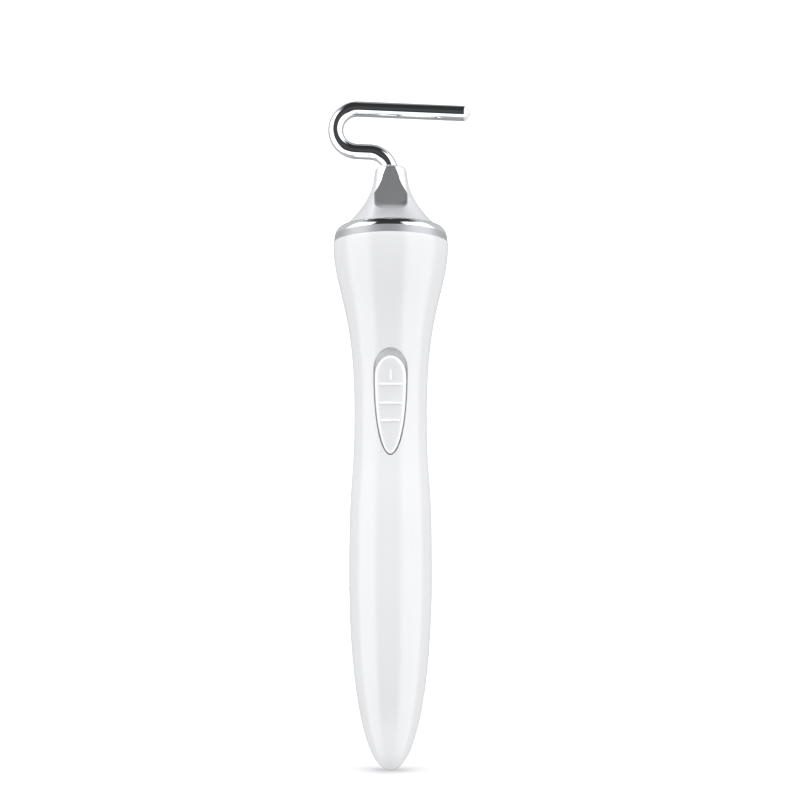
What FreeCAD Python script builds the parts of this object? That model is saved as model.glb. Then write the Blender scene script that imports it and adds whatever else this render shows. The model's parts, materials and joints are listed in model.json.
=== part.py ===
import FreeCAD, Part
import math
import os

# Hand-held dental curing light: a slim battery handle with a thumb slider, a polished
# nose and a hooked steel light guide that swivels in the nose.
# Millimetres. +Z runs up the handle, the thumb slider faces -Y, the guide's arm points +X,
# and the origin is the rounded lower tip of the handle, on its axis.

# ---------------------------------------------------------------- handle outline
HANDLE_HEIGHT = 173.7
RIM_RADIUS = 19.3
NECK_RADIUS = 12.05
NECK_HEIGHT = 116.0
BELLY_RADIUS = 13.6
BELLY_HEIGHT = 64.6
WALL = 1.8
# How far each curve of the outline runs on along its tangent, as a share of its span.
TIP_SWELL = 0.685
BELLY_SWELL_BELOW = 0.51
BELLY_SWELL_ABOVE = 0.705
NECK_HOLLOW_BELOW = 0.525
NECK_HOLLOW_ABOVE = 0.627
RIM_STRAIGHT = 0.277
# Tongue and groove along the seam between the two shells.
TONGUE_INSET = 0.6
TONGUE_WIDTH = 0.6
TONGUE_HEIGHT = 0.8

# ---------------------------------------------------------------- clearances
FIT = 0.05
LOOSE = 0.3
RUNNING = 0.05

# ---------------------------------------------------------------- thumb slider and its recess
RECESS_BOTTOM = 101.5
RECESS_HEIGHT = 35.1
RECESS_HALF_WIDTH = 5.52
RECESS_WIDEST = 28.0
RECESS_POINT = 2.6
RECESS_SIDE_RUN = 20.0
RECESS_FLOOR_DEPTH = 2.15
SLIDER_SIDE_GAP = 0.35
SLIDER_POINT_GAP = 0.3
SLIDER_FLANK_LIFT = 1.0
SLIDER_END_GAP = 0.45
SLIDER_TRAVEL = 2.2
SLIDER_PROUD = 0.2
SLIDER_LIFT = 0.3
RIDGE_PROUD = 0.35
RIDGE_THICKNESS = 0.75
RIDGES = ((23.05, 7.9), (16.9, 7.4), (11.25, 6.5))
MARK_WIDTH = 0.7
MARK_BOTTOM = 24.3
MARK_LENGTH = 3.65
BED_THICKNESS = 2.3
BED_FLANGE = 1.3
STEM_HALF = 2.2
HOOK_LEG_OFFSET = 9.0
HOOK_LEG_HALF = (1.2, 0.8)
HOOK_REACH = 0.8
HOOK_THICKNESS = 0.8

# ---------------------------------------------------------------- slide switch and main board
KNOB_WIDTH = 1.5
KNOB_HEIGHT = 16.0
SWITCH_SIZE = (4.2, 9.0, 3.5)
BED_TO_SWITCH = 0.3
BOARD_HALF_WIDTH = 8.4
BOARD_THICKNESS = 1.0
BOARD_BELOW_RECESS = 7.5
BOARD_ABOVE_RECESS = 11.5
BOARD_SCREW_RADIUS = 0.8
BOARD_SCREW_LENGTH = 6.0

# ---------------------------------------------------------------- battery and chassis
BATTERY_RADIUS = 7.1
BATTERY_LENGTH = 49.0
BATTERY_NUB = 1.0
BATTERY_BOTTOM = 36.0
TAB_THICKNESS = 0.3
TAB_WIDTH = 5.0
CHASSIS_WALL = 1.4
CHASSIS_END_WALL = 1.5
CHASSIS_BOARD_RADIUS = 9.4
LEAD_RADIUS = 0.45
LEAD_SPACING = 2.2
LEAD_BEND = 2.2

# ---------------------------------------------------------------- charging coil
COIL_BOTTOM = 9.0
COIL_HEIGHT = 2.0
COIL_GAP = 0.4
COIL_BORE_RADIUS = 2.7
COIL_LEAD_Y = -1.8
FERRITE_THICKNESS = 1.4
HOLDER_WALL = 1.2
HOLDER_SLOT = 9.0

# ---------------------------------------------------------------- collar and trim ring
RING_HEIGHT = 2.5
RING_TAPER = 0.3
RING_SETBACK = 0.1
COLLAR_DEPTH = 7.0
COLLAR_FLANGE = 1.6
COLLAR_FLANGE_DEPTH = 5.0
COLLAR_BITE = 0.55
THREAD_RADIUS = 13.0
THREAD_DEPTH = 0.35
THREAD_PITCH = 0.9
SPIGOT_HEIGHT = 5.3
SEAL_THICKNESS = 1.2

# ---------------------------------------------------------------- nose cone
NOSE_HEIGHT = 23.8
NOSE_SETBACK = 0.55
NOSE_LAND = 0.3
NOSE_BAND_TOP = 2.55
NOSE_BAND_RADIUS = 17.2
NOSE_BAND_BULGE = 0.3
NOSE_STEP_RADIUS = 15.9
FLARE_START = 2.75
FLARE_END = 19.75
BOSS_WALL = 2.75
BOSS_TAPER = 0.4
BOSS_ROUND = 1.6
FLAT_DEPTH = 0.3
FLAT_HALF_WIDTH = 5.6
FLAT_BOTTOM = 6.4
FLAT_CORNER = 0.6
FLAT_SCOOP = 4.5
NOSE_CAVITY_HEIGHT = 3.1

# ---------------------------------------------------------------- light guide
GUIDE_RADIUS = 2.6
GUIDE_WALL = 0.5
BEND_RADIUS = 7.4
BEND_SINK = 1.95
ARM_TILT = 2.5
LOWER_LIMB = 4.6
ARM_LENGTH = 36.05
DOME_HEIGHT = 2.0
DOME_SETBACK = 0.05
LENS_STUB = 2.5
MOUTH_GAP = 0.25
FERRULE_WALL = 1.3
FERRULE_LENGTH = 6.8
FERRULE_FLANGE_REACH = 0.4
FERRULE_FLANGE = 1.2
FERRULE_LEDGE = 0.7
COUNTERBORE_TOP = 7.35
RETAINER_BITE = 0.55
RETAINER_THICKNESS = 1.0
O_RING_THICKNESS = 0.76
O_RING_HEIGHT = 3.6

# ---------------------------------------------------------------- light source and heat sink
LED_BOARD_RADIUS = 10.4
LED_BOARD_THICKNESS = 1.0
LED_BOARD_HEIGHT = 0.1
THERMAL_PAD_RADIUS = 7.4
THERMAL_PAD_THICKNESS = 0.3
LED_HALF_WIDTH = 2.0
LED_BASE_THICKNESS = 0.7
LED_DOME_RADIUS = 0.8
LENS_SURROUND = 0.65
LENS_EDGE = 0.8
LENS_CROWN = 1.2
HOLDER_FOOT_RADIUS = 7.8
HEAT_SINK_RADIUS = 10.7
HEAT_SINK_FLANGE_RADIUS = 14.6
HEAT_SINK_FLANGE = 1.5
HEAT_SINK_CORE = 4.5
FIN_COUNT = 5
FIN_THICKNESS = 1.0
FIN_PITCH = 2.4
LED_LEAD_OFFSET = 9.2
SMALL_SCREW_RADIUS = 0.8
SMALL_HEAD_RADIUS = 1.4
SMALL_HEAD = 1.0

# ---------------------------------------------------------------- places that follow from the sizes
RIM = HANDLE_HEIGHT
NOSE_BASE = RIM + RING_HEIGHT
NOSE_TOP = NOSE_BASE + NOSE_HEIGHT
COLLAR_BASE = RIM - COLLAR_DEPTH
BEND_START = NOSE_TOP - BEND_SINK
GUIDE_BORE = GUIDE_RADIUS - GUIDE_WALL
BOSS_TOP_RADIUS = GUIDE_RADIUS + BOSS_WALL
BOSS_RADIUS = BOSS_TOP_RADIUS + BOSS_TAPER
FLAT_OFFSET = BOSS_TOP_RADIUS - FLAT_DEPTH
FERRULE_RADIUS = GUIDE_RADIUS + FERRULE_WALL
FERRULE_FLANGE_RADIUS = FERRULE_RADIUS + FERRULE_FLANGE_REACH
COUNTERBORE_RADIUS = FERRULE_FLANGE_RADIUS + LOOSE
RETAINER_RADIUS = COUNTERBORE_RADIUS + RETAINER_BITE
RETAINER_BORE = FERRULE_RADIUS + 2 * RUNNING
LENS_RADIUS = COUNTERBORE_RADIUS - FIT - LENS_SURROUND
RECESS_TOP = RECESS_BOTTOM + RECESS_HEIGHT
BED_FACE = -(NECK_RADIUS - RECESS_FLOOR_DEPTH)
BED_BACK = BED_FACE + BED_THICKNESS
SWITCH_FACE = BED_BACK + BED_TO_SWITCH
BOARD_FACE = SWITCH_FACE + SWITCH_SIZE[2]
BOARD_BACK = BOARD_FACE + BOARD_THICKNESS
BOARD_BOTTOM = RECESS_BOTTOM - BOARD_BELOW_RECESS
BOARD_TOP = RECESS_TOP + BOARD_ABOVE_RECESS
KNOB_Z = RECESS_BOTTOM + KNOB_HEIGHT
SWITCH_Z = KNOB_Z + SLIDER_TRAVEL / 2
LED_BOARD_Z = NOSE_BASE + LED_BOARD_HEIGHT
LED_BOARD_TOP = LED_BOARD_Z + LED_BOARD_THICKNESS
HEAT_SINK_TOP = LED_BOARD_Z - THERMAL_PAD_THICKNESS
FLANGE_BASE = COLLAR_BASE - HEAT_SINK_FLANGE
FERRULE_BASE = NOSE_BASE + COUNTERBORE_TOP - FERRULE_FLANGE - FIT
FERRULE_TOP = FERRULE_BASE + FERRULE_FLANGE + FERRULE_LENGTH
GUIDE_BASE = FERRULE_BASE + FERRULE_LEDGE
RETAINER_TOP = FERRULE_BASE - FIT
BATTERY_TOP = BATTERY_BOTTOM + BATTERY_LENGTH
TROUGH_BORE = BATTERY_RADIUS + LOOSE
TROUGH_RADIUS = TROUGH_BORE + CHASSIS_WALL
TROUGH_BOTTOM = BATTERY_BOTTOM - TAB_THICKNESS - CHASSIS_END_WALL
TROUGH_TOP = BATTERY_TOP + TAB_THICKNESS + CHASSIS_END_WALL
CHASSIS_TOP = BOARD_TOP
FERRITE_BOTTOM = COIL_BOTTOM + COIL_HEIGHT
FERRITE_TOP = FERRITE_BOTTOM + FERRITE_THICKNESS
LEAD_REACH = BATTERY_RADIUS + LEAD_RADIUS + LOOSE
LEAD_ON_BOARD = BOARD_FACE - LEAD_RADIUS
FAR = 60.0
# Length of the handles that makes a cubic curve follow a quarter of an ellipse.
QUARTER = 0.5523


# ---------------------------------------------------------------- plain shapes
def vec(x, y, z):
    return FreeCAD.Vector(x, y, z)


def block(x0, x1, y0, y1, z0, z1):
    return Part.makeBox(x1 - x0, y1 - y0, z1 - z0, vec(x0, y0, z0))


def rod(radius, z0, z1, x=0.0, y=0.0):
    return Part.makeCylinder(radius, z1 - z0, vec(x, y, z0), vec(0, 0, 1))


def tube(inner, outer, z0, z1):
    return rod(outer, z0, z1).cut(rod(inner, z0, z1))


def line(start, end):
    return Part.LineSegment(vec(start[0], 0, start[1]), vec(end[0], 0, end[1])).toShape()


def polyline(points):
    return [line(a, b) for a, b in zip(points, points[1:])]


def arc(start, middle, end):
    ends = [vec(p[0], 0, p[1]) for p in (start, middle, end)]
    return Part.Arc(*ends).toShape()


def curve(poles):
    bezier = Part.BezierCurve()
    bezier.setPoles([vec(r, 0, z) for r, z in poles])
    return bezier.toShape()


def lathe(edges, angle=360.0):
    face = Part.Face(Part.Wire(edges))
    solid = face.revolve(vec(0, 0, 0), vec(0, 0, 1), angle)
    if solid.Volume < 0:
        solid.reverse()
    return solid


def turned(points):
    return lathe(polyline(list(points) + [points[0]]))


def along_y(edges, y0, y1):
    face = Part.Face(Part.Wire(edges))
    face.translate(vec(0, y0, 0))
    return face.extrude(vec(0, y1 - y0, 0))


def torus(ring_radius, thickness, z):
    return Part.makeTorus(ring_radius, thickness / 2, vec(0, 0, z), vec(0, 0, 1))


def screw(head_radius, head, shank_radius, length):
    """A pan-head screw on the +Z axis: its head sits on z = 0, its shank goes down."""
    shank = rod(shank_radius, -length, 0.0)
    cap = rod(head_radius, 0.0, head)
    cap = cap.makeFillet(head * 0.45, [cap.Edges[0]])
    slot = block(-head_radius, head_radius, -0.2, 0.2, head * 0.55, head + 1.0)
    return shank.fuse(cap).cut(slot)


def placed(shape, position, axis):
    moved = shape.copy()
    turn = FreeCAD.Rotation(vec(0, 0, 1), axis)
    moved.Placement = FreeCAD.Placement(position, turn)
    return moved


def wire_path(points, bend):
    """Straight runs through the points, joined by tangent arcs of radius bend."""
    edges = []
    start = points[0]
    for before, corner, after in zip(points, points[1:], points[2:]):
        run_in = (corner - before).normalize()
        run_out = (after - corner).normalize()
        turn = run_in.getAngle(run_out)
        reach = bend * math.tan(turn / 2)
        first = corner - run_in * reach
        last = corner + run_out * reach
        inward = (run_out - run_in).normalize()
        middle = corner + inward * (bend / math.cos(turn / 2) - bend)
        edges.append(Part.LineSegment(start, first).toShape())
        edges.append(Part.Arc(first, middle, last).toShape())
        start = last
    edges.append(Part.LineSegment(start, points[-1]).toShape())
    return Part.Wire(edges)


def swept(path, radius):
    """A round bar of one radius along the path."""
    first = path.Edges[0]
    start = first.valueAt(first.FirstParameter)
    heading = first.tangentAt(first.FirstParameter)
    ring = Part.Wire(Part.Circle(start, heading, radius).toShape())
    bar = path.makePipeShell([ring], True, False)
    if bar.Volume < 0:
        bar.reverse()
    return bar


def lead(points):
    return swept(wire_path([vec(*p) for p in points], LEAD_BEND), LEAD_RADIUS)


# ---------------------------------------------------------------- the handle's outline
def outline_poles(inset):
    """Poles of the three curves of the handle's outline, moved inwards by inset."""
    belly = BELLY_RADIUS - inset
    neck = NECK_RADIUS - inset
    rim = RIM_RADIUS - inset
    waist = NECK_HEIGHT - BELLY_HEIGHT
    shoulder = HANDLE_HEIGHT - NECK_HEIGHT
    foot = [
        (0.0, inset),
        (TIP_SWELL * BELLY_RADIUS - inset, inset),
        (belly, BELLY_HEIGHT * (1 - BELLY_SWELL_BELOW)),
        (belly, BELLY_HEIGHT),
    ]
    grip = [
        (belly, BELLY_HEIGHT),
        (belly, BELLY_HEIGHT + waist * BELLY_SWELL_ABOVE),
        (neck, NECK_HEIGHT - waist * NECK_HOLLOW_BELOW),
        (neck, NECK_HEIGHT),
    ]
    flare = [
        (neck, NECK_HEIGHT),
        (neck, NECK_HEIGHT + shoulder * NECK_HOLLOW_ABOVE),
        (rim, HANDLE_HEIGHT - shoulder * RIM_STRAIGHT),
        (rim, HANDLE_HEIGHT),
    ]
    return foot, grip, flare


def outline_edges(inset):
    return [curve(poles) for poles in outline_poles(inset)]


def radius_at(z, inset=0.0):
    """Radius of the handle's outline, moved inwards by inset, at height z."""
    foot, grip, flare = outline_poles(inset)
    poles = foot if z < BELLY_HEIGHT else grip if z < NECK_HEIGHT else flare
    low = 0.0
    high = 1.0
    for _ in range(40):
        t = (low + high) / 2
        s = 1 - t
        weights = (s ** 3, 3 * s * s * t, 3 * s * t * t, t ** 3)
        if sum(w * p[1] for w, p in zip(weights, poles)) < z:
            low = t
        else:
            high = t
    return sum(w * p[0] for w, p in zip(weights, poles))


def handle_solid(inset, angle=360.0):
    """The whole space inside the outline, moved inwards by inset."""
    closing = polyline([(RIM_RADIUS - inset, RIM), (0.0, RIM), (0.0, inset)])
    return lathe(outline_edges(inset) + closing, angle)


def half_wall(outer_inset, inner_inset, angle):
    """Half of the layer between two insets of the outline."""
    return handle_solid(outer_inset, angle).cut(handle_solid(inner_inset, angle))


def seam_rail(extra):
    """The rail along the seam, grown by extra on its sides and its crest."""
    inset = TONGUE_INSET - extra
    layer = half_wall(inset, inset + TONGUE_WIDTH + 2 * extra, 180.0)
    height = TONGUE_HEIGHT + extra
    low = TONGUE_INSET + WALL
    rail = layer.common(block(-FAR, FAR, 0, height, low, COLLAR_BASE - WALL))
    return rail


# ---------------------------------------------------------------- teardrop outlines
def teardrop(bottom, top, half_width, widest, point, flank):
    """A teardrop in the XZ plane: pointed below, a half ellipse above its widest place."""
    rise = (top - widest) * QUARTER
    spread = half_width * QUARTER
    right = [(0, bottom), (point, bottom), (half_width, flank), (half_width, widest)]
    crown = [(half_width, widest), (half_width, widest + rise), (spread, top), (0, top)]
    edges = [curve(right), curve(crown)]
    edges += [curve([(-x, z) for x, z in reversed(poles)]) for poles in (crown, right)]
    return edges


def recess_outline(grow):
    widest = RECESS_BOTTOM + RECESS_WIDEST
    half_width = RECESS_HALF_WIDTH + grow
    flank = widest - RECESS_SIDE_RUN
    point = RECESS_POINT + grow / 2
    return teardrop(RECESS_BOTTOM - grow, RECESS_TOP + grow, half_width, widest, point, flank)


def slider_outline():
    bottom = RECESS_BOTTOM + SLIDER_END_GAP
    top = RECESS_TOP - SLIDER_END_GAP - SLIDER_TRAVEL
    widest = RECESS_BOTTOM + RECESS_WIDEST - SLIDER_TRAVEL
    half_width = RECESS_HALF_WIDTH - SLIDER_SIDE_GAP
    flank = RECESS_BOTTOM + RECESS_WIDEST - RECESS_SIDE_RUN + SLIDER_FLANK_LIFT
    return teardrop(bottom, top, half_width, widest, RECESS_POINT - SLIDER_POINT_GAP, flank)


# ---------------------------------------------------------------- handle shells
def collar_groove():
    z1 = RIM - COLLAR_FLANGE_DEPTH + FIT
    z0 = z1 - COLLAR_FLANGE - 2 * FIT
    return tube(1.0, collar_flange_radius() + FIT, z0, z1)


def collar_flange_radius():
    return radius_at(RIM - COLLAR_FLANGE_DEPTH - COLLAR_FLANGE, WALL) + COLLAR_BITE


def front_shell():
    shell = half_wall(0.0, WALL, -180.0).cut(collar_groove())
    shell = shell.fuse(seam_rail(0.0))
    return shell.cut(along_y(recess_outline(0.0), -FAR, -1.0))


def chassis_rib(z, chassis_radius):
    """A rib inside the rear shell that seats against the chassis."""
    rib = handle_solid(WALL / 2).common(block(-FAR, FAR, 1.5, FAR, z, z + 1.2))
    return rib.cut(rod(chassis_radius + FIT, z - 1, z + 3))


def rear_shell():
    shell = half_wall(0.0, WALL, 180.0).cut(collar_groove())
    shell = shell.cut(seam_rail(FIT))
    cell = TROUGH_TOP - TROUGH_BOTTOM
    for share in (0.2, 0.8):
        shell = shell.fuse(chassis_rib(TROUGH_BOTTOM + cell * share, TROUGH_RADIUS))
    return shell.fuse(chassis_rib(CHASSIS_TOP - 3.0, CHASSIS_BOARD_RADIUS))


# ---------------------------------------------------------------- collar, trim ring and nose
def inner_collar():
    body_radius = radius_at(COLLAR_BASE, WALL) - LOOSE
    bore = HEAT_SINK_RADIUS + LOOSE
    flange_top = RIM - COLLAR_FLANGE_DEPTH
    collar = tube(bore, body_radius, COLLAR_BASE, RIM)
    collar = collar.fuse(tube(bore, collar_flange_radius(), flange_top - COLLAR_FLANGE, flange_top))
    collar = collar.fuse(tube(bore, THREAD_RADIUS, RIM, RIM + SPIGOT_HEIGHT))
    z = NOSE_BASE + THREAD_PITCH / 2
    while z + THREAD_PITCH / 2 < RIM + SPIGOT_HEIGHT:
        root = THREAD_RADIUS - THREAD_DEPTH
        outside = THREAD_RADIUS + THREAD_DEPTH
        half = THREAD_PITCH / 2
        collar = collar.cut(turned([(root, z), (outside, z - half), (outside, z + half)]))
        z += THREAD_PITCH
    for x, y in flange_screw_places():
        collar = collar.cut(rod(SMALL_SCREW_RADIUS, COLLAR_BASE, COLLAR_BASE + 4.5, x, y))
    return collar


def collar_ring():
    outer = RIM_RADIUS - RING_SETBACK
    lip = THREAD_RADIUS + FIT
    step = THREAD_RADIUS + SEAL_THICKNESS + LOOSE
    seat = NOSE_BASE - SEAL_THICKNESS
    crest = outer - RING_TAPER
    return turned([
        (lip, RIM), (outer, RIM), (crest, NOSE_BASE),
        (step, NOSE_BASE), (step, seat), (lip, seat),
    ])


def collar_seal():
    middle = THREAD_RADIUS + FIT + SEAL_THICKNESS / 2
    return torus(middle, SEAL_THICKNESS, NOSE_BASE - SEAL_THICKNESS / 2)


def mouth_radius():
    """Bore of the boss at its top, wide enough for the guide's bend to turn in."""
    inner = BEND_RADIUS - GUIDE_RADIUS
    return BEND_RADIUS - math.sqrt(inner ** 2 - BEND_SINK ** 2) + MOUTH_GAP


def nose_outside():
    """The nose's outer edges, from its base to the top of its boss."""
    base = RIM_RADIUS - NOSE_SETBACK
    low = (base, NOSE_BASE + NOSE_LAND)
    high = (NOSE_BAND_RADIUS, NOSE_BASE + NOSE_BAND_TOP)
    chord = math.hypot(high[0] - low[0], high[1] - low[1])
    bulge = (
        (low[0] + high[0]) / 2 + NOSE_BAND_BULGE * (high[1] - low[1]) / chord,
        (low[1] + high[1]) / 2 + NOSE_BAND_BULGE * (low[0] - high[0]) / chord,
    )
    start = (NOSE_STEP_RADIUS, NOSE_BASE + FLARE_START)
    end = (BOSS_RADIUS, NOSE_BASE + FLARE_END)
    spread = start[0] - end[0]
    height = end[1] - start[1]
    flare = [
        start,
        (start[0] - 0.365 * spread, start[1] + 0.207 * height),
        (end[0] + 0.054 * spread, end[1] - 0.402 * height),
        end,
    ]
    brim = (BOSS_TOP_RADIUS, NOSE_TOP - BOSS_ROUND)
    diagonal = BOSS_ROUND * (1 - math.sqrt(0.5))
    shoulder = (brim[0] - diagonal, NOSE_TOP - diagonal)
    edges = [line((base, NOSE_BASE), low), arc(low, bulge, high), line(high, start), curve(flare)]
    edges += [line(end, brim), arc(brim, shoulder, (BOSS_TOP_RADIUS - BOSS_ROUND, NOSE_TOP))]
    return edges


def nose_inside():
    """The nose's inner edges, from the top of its boss back to its base."""
    bore = GUIDE_RADIUS + RUNNING
    cavity_top = NOSE_BASE + NOSE_CAVITY_HEIGHT
    shoulder = NOSE_BASE + COUNTERBORE_TOP
    groove = RETAINER_RADIUS + FIT
    return polyline([
        (BOSS_TOP_RADIUS - BOSS_ROUND, NOSE_TOP),
        (mouth_radius(), NOSE_TOP),
        (bore, BEND_START),
        (bore, FERRULE_TOP + LOOSE),
        (FERRULE_RADIUS + RUNNING, FERRULE_TOP + LOOSE),
        (FERRULE_RADIUS + RUNNING, shoulder),
        (COUNTERBORE_RADIUS, shoulder),
        (COUNTERBORE_RADIUS, RETAINER_TOP + FIT),
        (groove, RETAINER_TOP + FIT),
        (groove, RETAINER_TOP - RETAINER_THICKNESS - FIT),
        (COUNTERBORE_RADIUS, RETAINER_TOP - RETAINER_THICKNESS - FIT),
        (COUNTERBORE_RADIUS, cavity_top),
        (THREAD_RADIUS + FIT, cavity_top),
        (THREAD_RADIUS + FIT, NOSE_BASE),
        (RIM_RADIUS - NOSE_SETBACK, NOSE_BASE),
    ])


def wrench_flat_cutter():
    """What mills away a flat: round at its lower corners, and scooped out towards the flare."""
    low = NOSE_BASE + FLAT_BOTTOM
    middle = low + FLAT_HALF_WIDTH * FLAT_CORNER
    top = NOSE_TOP + 5.0
    half = FLAT_HALF_WIDTH
    round_run = half * QUARTER
    drop = (middle - low) * QUARTER
    edges = [
        curve([(0, low), (round_run, low), (half, middle - drop), (half, middle)]),
        line((half, middle), (half, top)),
        line((half, top), (-half, top)),
        line((-half, top), (-half, middle)),
        curve([(-half, middle), (-half, middle - drop), (-round_run, low), (0, low)]),
    ]
    outline = along_y(edges, -FAR, -FLAT_OFFSET)
    return outline.common(flat_profile(low, top))


def flat_profile(low, top):
    """The flat seen from the side: a straight wall with a quarter round at its foot, drawn along X."""
    wall = -FLAT_OFFSET
    end = wall - FLAT_SCOOP
    diagonal = FLAT_SCOOP * (1 - math.sqrt(0.5))
    points = [
        vec(-FAR, wall, top), vec(-FAR, wall, low + FLAT_SCOOP),
        vec(-FAR, wall - diagonal, low + diagonal), vec(-FAR, end, low),
        vec(-FAR, -FAR, low), vec(-FAR, -FAR, top),
    ]
    edges = [
        Part.makeLine(points[0], points[1]),
        Part.Arc(points[1], points[2], points[3]).toShape(),
        Part.makeLine(points[3], points[4]),
        Part.makeLine(points[4], points[5]),
        Part.makeLine(points[5], points[0]),
    ]
    return Part.Face(Part.Wire(edges)).extrude(vec(2 * FAR, 0, 0))


def nose_cone():
    nose = lathe(nose_outside() + nose_inside())
    flat = wrench_flat_cutter()
    other = flat.mirror(vec(0, 0, 0), vec(0, 1, 0))
    return nose.cut(flat).cut(other)


def retaining_ring():
    """A snap ring with a gap, in the groove below the ferrule."""
    ring = tube(RETAINER_BORE, RETAINER_RADIUS, RETAINER_TOP - RETAINER_THICKNESS, RETAINER_TOP)
    return ring.cut(block(-1.5, 1.5, 0, FAR, RETAINER_TOP - 5, RETAINER_TOP + 5))


# ---------------------------------------------------------------- swivelling light guide
def guide_path(start_z):
    """Centre line: up out of the nose, over to -X, round and back along +X."""
    tilt = math.radians(ARM_TILT)
    turn = math.pi / 2 - tilt

    def on_circle(centre, angle):
        x = centre[0] + BEND_RADIUS * math.cos(angle)
        return (x, centre[1] + BEND_RADIUS * math.sin(angle))

    centre = (-BEND_RADIUS, BEND_START)
    first = on_circle(centre, turn)
    edges = [line((0, start_z), (0, BEND_START))]
    edges.append(arc((0, BEND_START), on_circle(centre, turn / 2), first))
    second = (first[0] - LOWER_LIMB * math.cos(tilt), first[1] + LOWER_LIMB * math.sin(tilt))
    edges.append(line(first, second))
    centre = (second[0] + BEND_RADIUS * math.sin(tilt), second[1] + BEND_RADIUS * math.cos(tilt))
    far_side = on_circle(centre, math.pi - tilt)
    third = on_circle(centre, math.pi / 2 - tilt)
    edges.append(arc(second, far_side, third))
    end = (third[0] + ARM_LENGTH * math.cos(tilt), third[1] - ARM_LENGTH * math.sin(tilt))
    edges.append(line(third, end))
    return edges, vec(end[0], 0, end[1]), vec(math.cos(tilt), 0, -math.sin(tilt))


def light_guide_tube():
    edges, _, _ = guide_path(GUIDE_BASE)
    outer = swept(Part.Wire(edges), GUIDE_RADIUS)
    return outer.cut(swept(Part.Wire(edges), GUIDE_BORE))


def fibre_bundle():
    edges, end, heading = guide_path(FERRULE_BASE + FIT)
    bundle = swept(Part.Wire(edges), GUIDE_BORE - FIT)
    cap = Part.makeCylinder(GUIDE_RADIUS, LENS_STUB + 1.0, end - heading * (LENS_STUB + FIT), heading)
    return bundle.cut(cap)


def tip_lens():
    """A glass stub in the guide's end with a domed face outside it."""
    _, end, heading = guide_path(GUIDE_BASE)
    rim = GUIDE_RADIUS - DOME_SETBACK
    ball = (rim ** 2 + DOME_HEIGHT ** 2) / (2 * DOME_HEIGHT)
    half = math.asin(rim / ball) / 2
    middle = (ball * math.sin(half), DOME_HEIGHT - ball + ball * math.cos(half))
    stub = GUIDE_BORE - FIT
    edges = [arc((0, DOME_HEIGHT), middle, (rim, 0))]
    edges += polyline([(rim, 0), (stub, 0), (stub, -LENS_STUB), (0, -LENS_STUB), (0, DOME_HEIGHT)])
    return placed(lathe(edges), end, heading)


def o_ring_groove_radius():
    return FERRULE_RADIUS + RUNNING - O_RING_THICKNESS - FIT


def guide_ferrule():
    flange_top = FERRULE_BASE + FERRULE_FLANGE
    groove = flange_top + O_RING_HEIGHT
    half_groove = O_RING_THICKNESS / 2 + FIT
    ferrule = rod(FERRULE_RADIUS, FERRULE_BASE, FERRULE_TOP)
    ferrule = ferrule.fuse(rod(FERRULE_FLANGE_RADIUS, FERRULE_BASE, flange_top))
    ferrule = ferrule.cut(tube(o_ring_groove_radius(), FAR, groove - half_groove, groove + half_groove))
    ferrule = ferrule.cut(rod(GUIDE_RADIUS, GUIDE_BASE, FERRULE_TOP))
    return ferrule.cut(rod(GUIDE_BORE, FERRULE_BASE, GUIDE_BASE))


def guide_o_ring():
    middle = o_ring_groove_radius() + FIT / 2 + O_RING_THICKNESS / 2
    return torus(middle, O_RING_THICKNESS, FERRULE_BASE + FERRULE_FLANGE + O_RING_HEIGHT)


# ---------------------------------------------------------------- light source
def led_emitter():
    half = LED_HALF_WIDTH
    dome_z = LED_BOARD_TOP + LED_BASE_THICKNESS
    base = block(-half, half, -half, half, LED_BOARD_TOP, dome_z)
    dome = Part.makeSphere(LED_DOME_RADIUS * 1.5, vec(0, 0, dome_z - LED_DOME_RADIUS * 0.5))
    dome = dome.common(block(-FAR, FAR, -FAR, FAR, dome_z, dome_z + FAR))
    return base.fuse(dome)


def led_lead_places():
    return ((-LEAD_SPACING / 2, LED_LEAD_OFFSET), (LEAD_SPACING / 2, LED_LEAD_OFFSET))


def led_screw_places():
    reach = LED_BOARD_RADIUS - SMALL_HEAD_RADIUS + 0.2
    return ((-reach, 0.0), (reach, 0.0))


def led_board():
    board = rod(LED_BOARD_RADIUS, LED_BOARD_Z, LED_BOARD_TOP)
    for x, y in led_lead_places():
        board = board.cut(rod(LEAD_RADIUS + FIT, LED_BOARD_Z, LED_BOARD_TOP, x, y))
    for x, y in led_screw_places():
        board = board.cut(rod(SMALL_SCREW_RADIUS + FIT, LED_BOARD_Z, LED_BOARD_TOP, x, y))
    return board


def led_screws():
    pattern = screw(SMALL_HEAD_RADIUS - 0.2, SMALL_HEAD, SMALL_SCREW_RADIUS, 4.0)
    places = [vec(x, y, LED_BOARD_TOP) for x, y in led_screw_places()]
    return Part.makeCompound([placed(pattern, p, vec(0, 0, 1)) for p in places])


def lens_bottom():
    return RETAINER_TOP - RETAINER_THICKNESS - 2 * FIT - LENS_EDGE - LENS_CROWN - LOOSE


def lens_holder():
    """A black ring on the board that centres the collimator under the guide."""
    foot_top = NOSE_BASE + NOSE_CAVITY_HEIGHT - LOOSE
    top = lens_bottom() + LENS_EDGE
    outer = COUNTERBORE_RADIUS - FIT
    seat = lens_bottom()
    inner = LENS_RADIUS + FIT
    return turned([
        (LED_HALF_WIDTH * 1.6, LED_BOARD_TOP),
        (HOLDER_FOOT_RADIUS, LED_BOARD_TOP),
        (HOLDER_FOOT_RADIUS, LED_BOARD_TOP + 0.8),
        (outer, foot_top),
        (outer, top),
        (inner, top),
        (inner, seat),
        (inner - 0.5, seat),
    ])


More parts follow.
